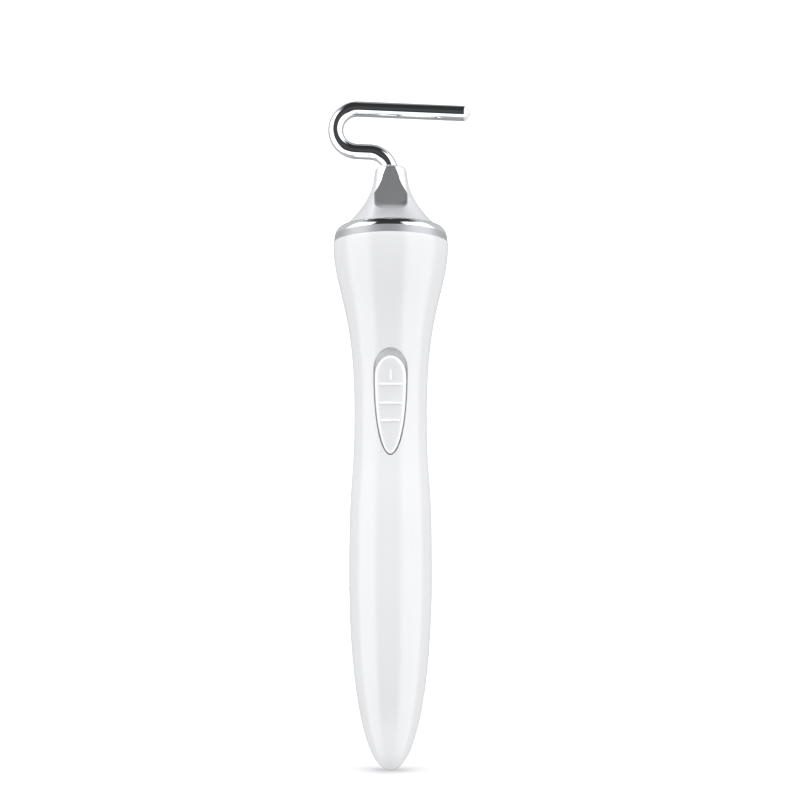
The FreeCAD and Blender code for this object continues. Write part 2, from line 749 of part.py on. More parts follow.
def collimator_lens():
    z = lens_bottom()
    edge = z + LENS_EDGE
    ball = (LENS_RADIUS ** 2 + LENS_CROWN ** 2) / (2 * LENS_CROWN)
    half = math.asin(LENS_RADIUS / ball) / 2
    middle = (ball * math.sin(half), edge + LENS_CROWN - ball + ball * math.cos(half))
    edges = [arc((0, edge + LENS_CROWN), middle, (LENS_RADIUS, edge))]
    edges += polyline([(LENS_RADIUS, edge), (LENS_RADIUS, z), (0, z), (0, edge + LENS_CROWN)])
    return lathe(edges)


def thermal_pad():
    return rod(THERMAL_PAD_RADIUS, HEAT_SINK_TOP, LED_BOARD_Z)


def flange_screw_places():
    reach = (HEAT_SINK_RADIUS + HEAT_SINK_FLANGE_RADIUS) / 2 + 0.1
    angles = [math.radians(30 + 120 * i) for i in range(3)]
    return [(reach * math.cos(a), reach * math.sin(a)) for a in angles]


def heat_sink():
    """Turned aluminium: a plug in the collar, a flange under it and round fins below."""
    sink = rod(HEAT_SINK_RADIUS, FLANGE_BASE, HEAT_SINK_TOP)
    sink = sink.fuse(rod(HEAT_SINK_FLANGE_RADIUS, FLANGE_BASE, COLLAR_BASE))
    bottom = FLANGE_BASE - FIN_COUNT * FIN_PITCH
    sink = sink.fuse(rod(HEAT_SINK_CORE, bottom, FLANGE_BASE))
    for i in range(FIN_COUNT):
        z = bottom + i * FIN_PITCH
        sink = sink.fuse(rod(HEAT_SINK_RADIUS, z, z + FIN_THICKNESS))
    half = LEAD_SPACING / 2 + LEAD_RADIUS + LOOSE
    outside = HEAT_SINK_RADIUS + LOOSE
    slot_floor = LED_LEAD_OFFSET - LEAD_RADIUS - 2 * LOOSE
    sink = sink.cut(block(-half, half, slot_floor, outside, bottom - 1, HEAT_SINK_TOP + 1))
    for x, y in led_screw_places():
        sink = sink.cut(rod(SMALL_SCREW_RADIUS, HEAT_SINK_TOP - 4.0, HEAT_SINK_TOP, x, y))
    for x, y in flange_screw_places():
        sink = sink.cut(rod(SMALL_SCREW_RADIUS + FIT, FLANGE_BASE, COLLAR_BASE, x, y))
    return sink


def heat_sink_screws():
    pattern = screw(SMALL_HEAD_RADIUS, SMALL_HEAD, SMALL_SCREW_RADIUS, 5.0)
    places = [vec(x, y, FLANGE_BASE) for x, y in flange_screw_places()]
    return Part.makeCompound([placed(pattern, p, vec(0, 0, -1)) for p in places])


# ---------------------------------------------------------------- thumb slider and switch
def switch_bed():
    """The grey floor of the recess: a plug in the opening with a flange behind the wall."""
    flange = along_y(recess_outline(BED_FLANGE), -FAR, BED_BACK)
    bed = flange.common(handle_solid(WALL + FIT))
    bed = bed.fuse(along_y(recess_outline(-2 * FIT), BED_FACE, BED_BACK))
    bed = bed.cut(along_y(recess_outline(0.0), -FAR, BED_FACE))
    reach = STEM_HALF + LOOSE
    bed = bed.cut(block(-reach, reach, -FAR, 0, KNOB_Z - reach, KNOB_Z + reach + SLIDER_TRAVEL))
    half_x = HOOK_LEG_HALF[0] + LOOSE
    half_z = HOOK_LEG_HALF[1] + LOOSE
    for z in hook_leg_places():
        bed = bed.cut(block(-half_x, half_x, -FAR, 0, z - half_z, z + half_z + SLIDER_TRAVEL))
    return bed


def hook_leg_places():
    return (KNOB_Z - HOOK_LEG_OFFSET, KNOB_Z + HOOK_LEG_OFFSET)


def slider_ridges():
    """Raised bars across the slider and one short upright bar above them."""
    crest = handle_solid(-SLIDER_PROUD - RIDGE_PROUD)
    half = RIDGE_THICKNESS / 2
    bars = []
    for height, length in RIDGES:
        z = RECESS_BOTTOM + height
        bar = block(-length / 2, length / 2, -FAR, BED_FACE - 1.0, z - half, z + half)
        bars.append(bar.makeFillet(half * 0.8, [e for e in bar.Edges if runs_along_y(e)]))
    mark = RECESS_BOTTOM + MARK_BOTTOM
    wide = MARK_WIDTH / 2
    bar = block(-wide, wide, -FAR, BED_FACE - 1.0, mark, mark + MARK_LENGTH)
    bars.append(bar.makeFillet(wide * 0.8, [e for e in bar.Edges if runs_along_y(e)]))
    return [bar.common(crest) for bar in bars]


def runs_along_y(edge):
    start, end = (v.Point for v in edge.Vertexes)
    return abs(start.y - end.y) > 1.0


def slide_button():
    underside = BED_FACE - SLIDER_LIFT
    button = along_y(slider_outline(), -FAR, underside).common(handle_solid(-SLIDER_PROUD))
    for bar in slider_ridges():
        button = button.fuse(bar)
    stem_end = BED_BACK - LOOSE
    half = STEM_HALF
    button = button.fuse(block(-half, half, underside - 0.4, stem_end, KNOB_Z - half, KNOB_Z + half))
    socket = KNOB_WIDTH / 2 + FIT
    button = button.cut(block(-socket, socket, BED_FACE + 0.5, 0, KNOB_Z - socket, KNOB_Z + socket))
    half_x, half_z = HOOK_LEG_HALF
    hook_face = BED_BACK + LOOSE
    for z in hook_leg_places():
        low, high = z - half_z, z + half_z
        button = button.fuse(block(-half_x, half_x, underside - 0.4, hook_face + HOOK_THICKNESS, low, high))
        reach = half_x + HOOK_REACH
        button = button.fuse(block(-reach, reach, hook_face, hook_face + HOOK_THICKNESS, low, high))
    return button.removeSplitter()


def switch_knob():
    half = KNOB_WIDTH / 2
    tip = BED_FACE + 0.5 + FIT
    knob = block(-half, half, tip, SWITCH_FACE + 1.5, KNOB_Z - half, KNOB_Z + half)
    plate = block(-1.1, 1.1, SWITCH_FACE + 1.2, SWITCH_FACE + 2.0, KNOB_Z - 1.6, KNOB_Z + 1.6)
    return knob.fuse(plate)


def slide_switch_body():
    half_x = SWITCH_SIZE[0] / 2
    half_z = SWITCH_SIZE[1] / 2
    body = block(-half_x, half_x, SWITCH_FACE, BOARD_FACE, SWITCH_Z - half_z, SWITCH_Z + half_z)
    slot = KNOB_WIDTH / 2 + LOOSE
    low = KNOB_Z - slot
    high = KNOB_Z + slot + SLIDER_TRAVEL
    body = body.cut(block(-slot, slot, SWITCH_FACE - 1, SWITCH_FACE + 1.0, low, high))
    inside = block(-1.4, 1.4, SWITCH_FACE + 0.9, BOARD_FACE - 0.8, SWITCH_Z - 3.3, SWITCH_Z + 3.3)
    return body.cut(inside)


# ---------------------------------------------------------------- electronics
def board_screw_places():
    return (BOARD_BOTTOM + 1.9, BOARD_TOP - 1.9)


def main_board():
    half = BOARD_HALF_WIDTH
    board = block(-half, half, BOARD_FACE, BOARD_BACK, BOARD_BOTTOM, BOARD_TOP)
    board = board.makeFillet(1.0, [e for e in board.Edges if e.Length < BOARD_THICKNESS + 0.01])
    hole = BOARD_SCREW_RADIUS + FIT
    for z in board_screw_places():
        board = board.cut(Part.makeCylinder(hole, 9.0, vec(6.0, BOARD_FACE - 4, z), vec(0, 1, 0)))
    return board


def board_screws():
    pattern = screw(SMALL_HEAD_RADIUS, SMALL_HEAD, BOARD_SCREW_RADIUS, BOARD_SCREW_LENGTH)
    places = [vec(6.0, BOARD_FACE, z) for z in board_screw_places()]
    return Part.makeCompound([placed(pattern, p, vec(0, -1, 0)) for p in places])


def on_board(x, z, width, height, thickness):
    half_x = width / 2
    half_z = height / 2
    chip = block(x - half_x, x + half_x, BOARD_FACE - thickness, BOARD_FACE, z - half_z, z + half_z)
    return chip.makeChamfer(0.15, [e for e in chip.Edges if abs(e.Length - thickness) < 0.001])


def controller_chips():
    """Microcontroller, charger and light driver."""
    chips = [
        on_board(0.0, RECESS_TOP + 3.5, 5.0, 5.0, 1.2),
        on_board(-5.0, RECESS_BOTTOM + 4.0, 4.0, 4.0, 1.0),
        on_board(4.8, RECESS_BOTTOM + 27.0, 3.6, 4.8, 1.4),
    ]
    return Part.makeCompound(chips)


def power_inductor():
    core = on_board(-5.0, RECESS_BOTTOM + 29.0, 5.4, 5.4, 2.6)
    well = Part.makeCylinder(1.9, 0.4, vec(-5.0, BOARD_FACE - 2.6, RECESS_BOTTOM + 29.0), vec(0, 1, 0))
    return core.cut(well)


def battery_cell():
    body = rod(BATTERY_RADIUS, BATTERY_BOTTOM, BATTERY_TOP - BATTERY_NUB)
    body = body.makeFillet(0.6, [body.Edges[0], body.Edges[2]])
    nub = rod(2.6, BATTERY_TOP - BATTERY_NUB, BATTERY_TOP)
    return body.fuse(nub)


def battery_tabs():
    """Nickel strips on both ends of the cell, each with a tail at the front for its lead."""
    half = TAB_WIDTH / 2
    front = -(BATTERY_RADIUS + 0.6)
    tabs = []
    for z, fold in ((BATTERY_BOTTOM - TAB_THICKNESS, 1), (BATTERY_TOP, -1)):
        strip = block(-half, half, front, 4.0, z, z + TAB_THICKNESS)
        inner = z if fold > 0 else z - 4.0
        tail = block(-half, half, front - TAB_THICKNESS, front, inner, inner + 4.0 + TAB_THICKNESS)
        tabs.append(strip.fuse(tail))
    return Part.makeCompound(tabs)


def chassis():
    """One moulded frame: a trough for the cell and, above it, a trough that holds the board."""
    trough = tube(TROUGH_BORE, TROUGH_RADIUS, TROUGH_BOTTOM, TROUGH_TOP)
    for z in (TROUGH_BOTTOM, TROUGH_TOP - CHASSIS_END_WALL):
        trough = trough.fuse(rod(TROUGH_RADIUS, z, z + CHASSIS_END_WALL))
    trough = trough.cut(block(-FAR, FAR, -FAR, -2.0, TROUGH_BOTTOM - 1, TROUGH_TOP + 1))
    radius = CHASSIS_BOARD_RADIUS
    carrier = tube(radius - CHASSIS_WALL, radius, TROUGH_TOP - CHASSIS_END_WALL, CHASSIS_TOP)
    foot = rod(radius, TROUGH_TOP - CHASSIS_END_WALL, TROUGH_TOP)
    carrier = carrier.fuse(foot)
    for z in board_screw_places():
        carrier = carrier.fuse(rod(radius, z - 1.7, z + 1.7))
    top = board_screw_places()[1]
    carrier = carrier.cut(block(-3.0, 3.0, -FAR, 6.5, top - 3, top + 3))
    carrier = carrier.cut(block(-FAR, FAR, -FAR, BOARD_BACK, TROUGH_TOP - 3, CHASSIS_TOP + 1))
    frame = trough.fuse(carrier)
    for z in board_screw_places():
        depth = BOARD_SCREW_LENGTH + 1.0
        pilot = Part.makeCylinder(BOARD_SCREW_RADIUS, depth, vec(6.0, BOARD_FACE, z), vec(0, 1, 0))
        frame = frame.cut(pilot)
    return frame.removeSplitter()


def battery_leads(side, tab_z):
    """One lead from a cell tab, up the front of the handle and onto the board."""
    x = side * LEAD_SPACING / 2
    start_y = -(BATTERY_RADIUS + 0.6 + TAB_THICKNESS + LEAD_RADIUS)
    above = BOARD_BOTTOM + 4.5
    return lead([
        (x, start_y, tab_z),
        (x, start_y, BATTERY_TOP + 1.5),
        (x, LEAD_ON_BOARD, BOARD_BOTTOM - 0.5),
        (x, LEAD_ON_BOARD, above),
    ])


def coil_lead_places():
    return ((-LEAD_SPACING * 1.5, COIL_LEAD_Y), (LEAD_SPACING * 1.5, COIL_LEAD_Y))


def coil_lead_holes(z0, z1):
    holes = [rod(LEAD_RADIUS + FIT, z0, z1, x, y) for x, y in coil_lead_places()]
    return holes[0].fuse(holes[1])


def coil_leads():
    """Two leads from the coil, close round the cell and onto the board."""
    leads = []
    for x, y in coil_lead_places():
        beside_cell = -math.sqrt(LEAD_REACH ** 2 - x ** 2)
        leads.append(lead([
            (x, y, FERRITE_BOTTOM),
            (x, y, FERRITE_TOP + HOLDER_WALL + 6.0),
            (x, beside_cell, TROUGH_BOTTOM - 3.0),
            (x, beside_cell, BATTERY_TOP + 1.0),
            (x, LEAD_ON_BOARD, BOARD_BOTTOM - 0.5),
            (x, LEAD_ON_BOARD, BOARD_BOTTOM + 4.5),
        ]))
    return Part.makeCompound(leads)


def led_leads():
    """Two leads from the back of the board, through the heat sink's slot, to the LED board."""
    start_y = BOARD_BACK + LEAD_RADIUS
    leads = []
    for x, y in led_lead_places():
        leads.append(lead([
            (x, start_y, CHASSIS_TOP - 8.0),
            (x, start_y, CHASSIS_TOP - 5.0),
            (x, y, CHASSIS_TOP + 3.0),
            (x, y, LED_BOARD_TOP + 0.5),
        ]))
    return Part.makeCompound(leads)


# ---------------------------------------------------------------- charging coil
def coil_radius():
    return radius_at(COIL_BOTTOM, WALL) - COIL_GAP


def charging_coil():
    coil = tube(COIL_BORE_RADIUS, coil_radius(), COIL_BOTTOM, COIL_BOTTOM + COIL_HEIGHT)
    return coil.makeFillet(0.4, [e for e in coil.Edges if len(e.Vertexes) == 1])


def coil_ferrite():
    plate = rod(coil_radius(), FERRITE_BOTTOM, FERRITE_TOP)
    plate = plate.fuse(rod(COIL_BORE_RADIUS - LOOSE, COIL_BOTTOM + 0.4, FERRITE_BOTTOM))
    return plate.cut(coil_lead_holes(FERRITE_BOTTOM, FERRITE_TOP))


def coil_holder():
    """A cup between the ferrite and the chassis, open at the front for the leads."""
    outer = radius_at(FERRITE_TOP, WALL) - LOOSE
    holder = tube(outer - HOLDER_WALL, outer, FERRITE_TOP, TROUGH_BOTTOM)
    holder = holder.fuse(rod(outer, FERRITE_TOP, FERRITE_TOP + HOLDER_WALL))
    holder = holder.cut(coil_lead_holes(FERRITE_TOP, FERRITE_TOP + HOLDER_WALL))
    half = HOLDER_SLOT / 2
    return holder.cut(block(-half, half, -FAR, -1.2, FERRITE_TOP + HOLDER_WALL, TROUGH_BOTTOM))


# ---------------------------------------------------------------- all nodes
NODES = {
    "front_shell": front_shell,
    "rear_shell": rear_shell,
    "inner_collar": inner_collar,
    "collar_ring": collar_ring,
    "collar_seal": collar_seal,
    "nose_cone": nose_cone,
    "retaining_ring": retaining_ring,
    "light_guide_tube": light_guide_tube,
    "fibre_bundle": fibre_bundle,
    "tip_lens": tip_lens,
    "guide_ferrule": guide_ferrule,
    "guide_o_ring": guide_o_ring,
    "led_emitter": led_emitter,
    "led_board": led_board,
    "led_screws": led_screws,
    "lens_holder": lens_holder,
    "collimator_lens": collimator_lens,
    "thermal_pad": thermal_pad,
    "heat_sink": heat_sink,
    "heat_sink_screws": heat_sink_screws,
    "switch_bed": switch_bed,
    "slide_button": slide_button,
    "switch_knob": switch_knob,
    "slide_switch_body": slide_switch_body,
    "main_board": main_board,
    "board_screws": board_screws,
    "controller_chips": controller_chips,
    "power_inductor": power_inductor,
    "chassis": chassis,
    "battery_cell": battery_cell,
    "battery_tabs": battery_tabs,
    "battery_lead_red": lambda: battery_leads(1, BATTERY_TOP - 3.0),
    "battery_lead_black": lambda: battery_leads(-1, BATTERY_BOTTOM),
    "coil_leads": coil_leads,
    "led_leads": led_leads,
    "charging_coil": charging_coil,
    "coil_ferrite": coil_ferrite,
    "coil_holder": coil_holder,
}

os.makedirs("parts", exist_ok=True)
for name, make in NODES.items():
    shape = make()
    if not shape.isValid() or not shape.Solids:
        raise ValueError(name + " is not a closed solid")
    shape.exportStep("parts/" + name + ".step")
    print(name, len(shape.Solids), round(shape.Volume, 1))
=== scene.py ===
import json
import math

import bmesh
import bpy
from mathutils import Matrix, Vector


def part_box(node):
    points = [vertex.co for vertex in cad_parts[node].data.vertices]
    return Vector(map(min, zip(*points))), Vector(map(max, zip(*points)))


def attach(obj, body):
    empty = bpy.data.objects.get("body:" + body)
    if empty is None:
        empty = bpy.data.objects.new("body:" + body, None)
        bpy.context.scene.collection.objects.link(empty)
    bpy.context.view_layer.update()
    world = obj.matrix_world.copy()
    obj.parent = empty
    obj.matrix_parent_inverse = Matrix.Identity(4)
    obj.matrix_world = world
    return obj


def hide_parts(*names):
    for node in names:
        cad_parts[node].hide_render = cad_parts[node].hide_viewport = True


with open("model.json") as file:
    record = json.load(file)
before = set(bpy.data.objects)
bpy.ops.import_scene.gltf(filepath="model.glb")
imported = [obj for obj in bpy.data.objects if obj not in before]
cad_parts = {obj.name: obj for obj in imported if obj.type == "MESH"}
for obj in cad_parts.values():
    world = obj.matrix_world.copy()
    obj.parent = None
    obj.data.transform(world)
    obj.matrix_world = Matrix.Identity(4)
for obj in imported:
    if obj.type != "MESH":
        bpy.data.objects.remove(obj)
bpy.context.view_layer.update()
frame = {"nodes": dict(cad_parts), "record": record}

MM = 0.001

CAMERA_PLACE = (0.0031, -0.482, 0.06836)
CAMERA_TILT = math.radians(6.2)
CAMERA_LENS = 65.45

FLOOR_RADIUS = 3.0
FLOOR_DROP = 0.02 * MM

# Brightness of what reflections see all round. Directions are in degrees: azimuth from the front, elevation.
PANEL_LEVEL = 3.0
PANEL_HEIGHT = (-48, 50)
PANEL_HEIGHT_EDGE = 14
PANEL_EDGE = 20
RIGHT_PANEL = (31, 98)
LEFT_PANEL = (42, 98)
WALL_LEVEL = 0.62
DARK_LEVEL = 0.065
DARK_WALL = (-75, 75)
DARK_WALL_EDGE = 20
DARK_FOOT = (-36, -26)
DARK_CEILING = (55, 70)
HAZE = (-12, 26)
HAZE_EDGE = 16
HAZE_SHARE = (0.6, 1.2)
FLOOR_LEVEL = 1.9
FLOOR_START = (26, 36)
UNDER_LEVEL = 0.5
UNDER_START = (58, 76)
BEHIND_LEVEL = 0.4
BEHIND_START = (152, 166)

# Even light on matt surfaces, how it changes upwards, and the bright patch right overhead that gives the
# lower tip its shadow on the floor.
EVEN_LEVEL = 1.0
EVEN_SLOPE = -0.12
ZENITH_LEVEL = 5.0
ZENITH_START = (62, 76)
BACKDROP_LEVEL = 1.3


# ---------- camera, floor and studio light ----------

def camera():
    data = bpy.data.cameras.new("camera")
    data.lens = CAMERA_LENS
    data.sensor_width = 36.0
    data.clip_start = 0.01
    eye = bpy.data.objects.new("camera", data)
    eye.location = CAMERA_PLACE
    eye.rotation_euler = (math.pi / 2 + CAMERA_TILT, 0, 0)
    bpy.context.scene.collection.objects.link(eye)
    bpy.context.scene.camera = eye


def floor():
    """A wide pale disc just under the lower tip."""
    steps = 96
    rim = [(FLOOR_RADIUS * math.cos(a), FLOOR_RADIUS * math.sin(a), 0)
           for a in (2 * math.pi * i / steps for i in range(steps))]
    ground = mesh_object("floor", rim, [tuple(range(steps))])
    ground.location.z = -FLOOR_DROP
    material, tree, shader = new_material("floor_paper")
    tint = mix(tree, noise(tree, 40.0), (0.70, 0.70, 0.70), (0.72, 0.72, 0.72))
    tree.links.new(tint, shader.inputs["Base Color"])
    shader.inputs["Roughness"].default_value = 0.9
    shader.inputs["Specular IOR Level"].default_value = 0.0
    dress(ground, material)
    ground.visible_diffuse = False
    ground.visible_glossy = False


def band(tree, angle, low, high, soft):
    """1 where the angle lies between low and high degrees, with soft edges."""
    up = smooth_step(tree, angle, low - soft / 2, low + soft / 2)
    down = smooth_step(tree, angle, high - soft / 2, high + soft / 2)
    return math_node(tree, "MULTIPLY", up, math_node(tree, "SUBTRACT", 1.0, down))


def smooth_step(tree, value, low, high):
    """0 up to low degrees, 1 from high degrees on."""
    node = tree.nodes.new("ShaderNodeMapRange")
    node.interpolation_type = "SMOOTHSTEP"
    node.inputs["From Min"].default_value = math.radians(low)
    node.inputs["From Max"].default_value = math.radians(high)
    tree.links.new(value, node.inputs["Value"])
    return node.outputs["Result"]


def studio():
    """A studio all round: two white panels at the sides, and a dark wall in front that runs overhead.

    The floor in front is bright, and the wall is grey elsewhere and dimmer right behind. Reflections see
    all of that. Matt surfaces are lit evenly instead, with a bright patch overhead.
    """
    world = bpy.data.worlds.new("studio")
    bpy.context.scene.world = world
    world.use_nodes = True
    tree = world.node_tree
    tree.nodes.clear()
    coordinates = tree.nodes.new("ShaderNodeTexCoord")
    split = tree.nodes.new("ShaderNodeSeparateXYZ")
    tree.links.new(coordinates.outputs["Generated"], split.inputs[0])
    x, y, z = split.outputs
    azimuth = math_node(tree, "ARCTAN2", x, math_node(tree, "MULTIPLY", y, -1.0))
    elevation = math_node(tree, "ARCSINE", z)
    depression = math_node(tree, "MULTIPLY", elevation, -1.0)
    height = band(tree, elevation, *PANEL_HEIGHT, PANEL_HEIGHT_EDGE)
    right = band(tree, azimuth, *RIGHT_PANEL, PANEL_EDGE)
    left = band(tree, azimuth, -LEFT_PANEL[1], -LEFT_PANEL[0], PANEL_EDGE)
    panels = math_node(tree, "MULTIPLY", height, math_node(tree, "ADD", left, right))
    front = band(tree, azimuth, *DARK_WALL, DARK_WALL_EDGE)
    above = smooth_step(tree, elevation, *DARK_FOOT)
    overhead = smooth_step(tree, elevation, *DARK_CEILING)
    dark = math_node(tree, "MAXIMUM", math_node(tree, "MULTIPLY", front, above), overhead)
    haze = band(tree, elevation, *HAZE, HAZE_EDGE)
    dim = linear(tree, haze, DARK_LEVEL * HAZE_SHARE[0], DARK_LEVEL * HAZE_SHARE[1])
    wall = blend_values(tree, dark, WALL_LEVEL, dim)
    below = smooth_step(tree, depression, *FLOOR_START)
    wall = blend_values(tree, math_node(tree, "MULTIPLY", below, front), wall, FLOOR_LEVEL)
    under = smooth_step(tree, depression, *UNDER_START)
    wall = blend_values(tree, under, wall, UNDER_LEVEL)
    behind = smooth_step(tree, math_node(tree, "ABSOLUTE", azimuth), *BEHIND_START)
    wall = blend_values(tree, behind, wall, BEHIND_LEVEL)
    level = blend_values(tree, panels, wall, PANEL_LEVEL)
    rays = tree.nodes.new("ShaderNodeLightPath").outputs
    even = math_node(tree, "ADD", math_node(tree, "MULTIPLY", z, EVEN_SLOPE), EVEN_LEVEL)
    zenith = math_node(tree, "MULTIPLY", smooth_step(tree, elevation, *ZENITH_START), ZENITH_LEVEL)
    even = math_node(tree, "ADD", even, zenith)
    level = blend_values(tree, rays["Is Diffuse Ray"], level, even)
    level = blend_values(tree, rays["Is Camera Ray"], level, BACKDROP_LEVEL)
    sky = tree.nodes.new("ShaderNodeBackground")
    sky.inputs["Color"].default_value = (0.985, 0.99, 1.0, 1)
    tree.links.new(level, sky.inputs["Strength"])
    output = tree.nodes.new("ShaderNodeOutputWorld")
    tree.links.new(sky.outputs[0], output.inputs["Surface"])
    bpy.context.scene.view_settings.view_transform = "Standard"


# ---------- node helpers ----------

def put(tree, socket, value):
    """Sets a socket to a number, or links another node's output to it."""
    if isinstance(value, (int, float)):
        socket.default_value = value
    else:
        tree.links.new(value, socket)


def math_node(tree, operation, first, second=0.0):
    node = tree.nodes.new("ShaderNodeMath")
    node.operation = operation
    put(tree, node.inputs[0], first)
    put(tree, node.inputs[1], second)
    return node.outputs[0]


def linear(tree, fraction, low, high):
    """low where the fraction is 0, high where it is 1."""
    node = tree.nodes.new("ShaderNodeMapRange")
    put(tree, node.inputs["Value"], fraction)
    node.inputs["To Min"].default_value = low
    node.inputs["To Max"].default_value = high
    return node.outputs["Result"]


def blend_values(tree, fraction, low, high):
    """A number between two numbers, which may be other nodes' outputs."""
    node = tree.nodes.new("ShaderNodeMix")
    put(tree, node.inputs[0], fraction)
    put(tree, node.inputs[2], low)
    put(tree, node.inputs[3], high)
    return node.outputs[0]


def mix(tree, fraction, low, high):
    """A colour between two colours."""
    node = tree.nodes.new("ShaderNodeMix")
    node.data_type = "RGBA"
    tree.links.new(fraction, node.inputs[0])
    node.inputs[6].default_value = (*low, 1)
    node.inputs[7].default_value = (*high, 1)
    return node.outputs[2]


def noise(tree, scale, stretch=(1, 1, 1), detail=3.0):
    """Noise in the object's own metres, finer along the axes that stretch makes larger."""
    coordinates = tree.nodes.new("ShaderNodeTexCoord")
    mapping = tree.nodes.new("ShaderNodeMapping")
    mapping.inputs["Scale"].default_value = stretch
    texture = tree.nodes.new("ShaderNodeTexNoise")
    texture.inputs["Scale"].default_value = scale
    texture.inputs["Detail"].default_value = detail
    tree.links.new(coordinates.outputs["Object"], mapping.inputs["Vector"])
    tree.links.new(mapping.outputs["Vector"], texture.inputs["Vector"])
    return texture.outputs["Fac"]


def bump(tree, shader, height, depth):
    """Raises the surface by height times depth, in metres."""
    node = tree.nodes.new("ShaderNodeBump")
    node.inputs["Distance"].default_value = depth
    tree.links.new(height, node.inputs["Height"])
    tree.links.new(node.outputs["Normal"], shader.inputs["Normal"])


def new_material(name):
    material = bpy.data.materials.new(name)
    material.use_nodes = True
    tree = material.node_tree
    return material, tree, tree.nodes["Principled BSDF"]


# ---------- materials ----------

WHITE = (0.80, 0.80, 0.805)
UP_THE_AXIS = (1, 1, 0.02)

# The nose: height of its mirror-bright band and of the change to satin, how metallic and how rough the
# satin is, how much rougher its flats are, and how squarely a flat faces the front or the back.
NOSE_BAND = 2.6 * MM
NOSE_CHANGE = 0.4 * MM
PEARL = 0.72
SATIN_NOSE = (0.26, 0.38)
FLAT_ROUGHER = 0.06
FLAT_FACING = (0.93, 0.985)


def shade(colour, factor):
    return tuple(min(1.0, c * factor) for c in colour)


def moulded_plastic(name, colour, gloss, grain=9000.0, depth=0.004 * MM, coat=0.0):
    """Injection-moulded plastic: a faint cloud in its colour, fine grain and uneven polish."""
    material, tree, shader = new_material(name)
    cloud = noise(tree, 55.0, detail=4.0)
    tree.links.new(mix(tree, cloud, shade(colour, 0.985), shade(colour, 1.015)), shader.inputs["Base Color"])
    polish = noise(tree, 420.0, detail=5.0)
    tree.links.new(linear(tree, polish, gloss * 0.8, gloss * 1.25), shader.inputs["Roughness"])
    bump(tree, shader, noise(tree, grain, detail=2.0), depth)
    shader.inputs["IOR"].default_value = 1.49
    shader.inputs["Coat Weight"].default_value = coat
    shader.inputs["Coat Roughness"].default_value = 0.04
    return material


def worked_metal(name, colour, gloss, stretch=(0.02, 0.02, 1), lines=9000.0, depth=0.002 * MM,
                 turned=0.0, metallic=1.0):
    """Metal with the fine lines that turning, drawing or polishing leave, and small changes of tone."""
    material, tree, shader = new_material(name)
    shader.inputs["Metallic"].default_value = metallic
    shader.inputs["Anisotropic"].default_value = turned
    tone = noise(tree, 160.0, detail=4.0)
    tree.links.new(mix(tree, tone, shade(colour, 0.97), shade(colour, 1.03)), shader.inputs["Base Color"])
    marks = noise(tree, lines, stretch, detail=4.0)
    tree.links.new(linear(tree, marks, gloss * 0.6, gloss * 1.4), shader.inputs["Roughness"])
    bump(tree, shader, marks, depth)
    return material


def plated_nose():
    """Chrome plate: mirror bright on the band at the foot, satin on the flare and the boss above it."""
    material, tree, shader = new_material("chrome_nose")
    coordinates = tree.nodes.new("ShaderNodeTexCoord")
    split = tree.nodes.new("ShaderNodeSeparateXYZ")
    tree.links.new(coordinates.outputs["Object"], split.inputs[0])
    facing = tree.nodes.new("ShaderNodeSeparateXYZ")
    tree.links.new(coordinates.outputs["Normal"], facing.inputs[0])
    milled = tree.nodes.new("ShaderNodeMapRange")
    milled.inputs["From Min"].default_value = FLAT_FACING[0]
    milled.inputs["From Max"].default_value = FLAT_FACING[1]
    tree.links.new(math_node(tree, "ABSOLUTE", facing.outputs[1]), milled.inputs["Value"])
    milled = milled.outputs["Result"]
    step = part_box("nose_cone")[0].z + NOSE_BAND
    satin = tree.nodes.new("ShaderNodeMapRange")
    satin.interpolation_type = "SMOOTHSTEP"
    satin.inputs["From Min"].default_value = step
    satin.inputs["From Max"].default_value = step + NOSE_CHANGE
    tree.links.new(split.outputs[2], satin.inputs["Value"])
    satin = satin.outputs["Result"]
    pearl = math_node(tree, "MULTIPLY", satin, math_node(tree, "SUBTRACT", 1.0, milled))
    tree.links.new(linear(tree, pearl, 1.0, PEARL), shader.inputs["Metallic"])
    grain = noise(tree, 5200.0, (1, 1, 0.35), detail=5.0)
    bright = linear(tree, grain, 0.03, 0.08)
    frosted = linear(tree, grain, *SATIN_NOSE)
    frosted = math_node(tree, "ADD", frosted, math_node(tree, "MULTIPLY", milled, FLAT_ROUGHER))
    tree.links.new(blend_values(tree, satin, bright, frosted), shader.inputs["Roughness"])
    tone = noise(tree, 240.0, detail=4.0)
    tree.links.new(mix(tree, tone, (0.86, 0.87, 0.89), (0.91, 0.92, 0.94)), shader.inputs["Base Color"])
    bump(tree, shader, math_node(tree, "MULTIPLY", grain, satin), 0.0012 * MM)
    return material


def slider_plastic_painted_rim_highlight():
    """White plastic with a finely blasted face, polished round its rounded rim, where a whiter colour is a
    painted highlight.
    """
    material, tree, shader = new_material("slider_plastic_painted_rim_highlight")
    rim = tree.nodes.new("ShaderNodeAttribute")
    rim.attribute_name = "rim"
    rim = rim.outputs["Fac"]
    # Painted highlight: the rounded rim gets a whiter colour than the face, standing in for the light its
    # rounding catches.
    tree.links.new(mix(tree, rim, shade(WHITE, 0.965), (0.93, 0.93, 0.935)), shader.inputs["Base Color"])
    grain = noise(tree, 6500.0, detail=4.0)
    tree.links.new(blend_values(tree, rim, linear(tree, grain, 0.3, 0.42), 0.12), shader.inputs["Roughness"])
    bump(tree, shader, grain, 0.004 * MM)
    shader.inputs["IOR"].default_value = 1.49
    return material


def rubber(name, colour, sheen=0.15):
    """Moulded rubber: dull, slightly dusty, with a fine skin."""
    material, tree, shader = new_material(name)
    dust = noise(tree, 900.0, detail=6.0)
    tree.links.new(mix(tree, dust, shade(colour, 0.9), shade(colour, 1.25)), shader.inputs["Base Color"])
    tree.links.new(linear(tree, dust, 0.55, 0.8), shader.inputs["Roughness"])
    shader.inputs["Sheen Weight"].default_value = sheen
    bump(tree, shader, noise(tree, 5000.0), 0.01 * MM)
    return material


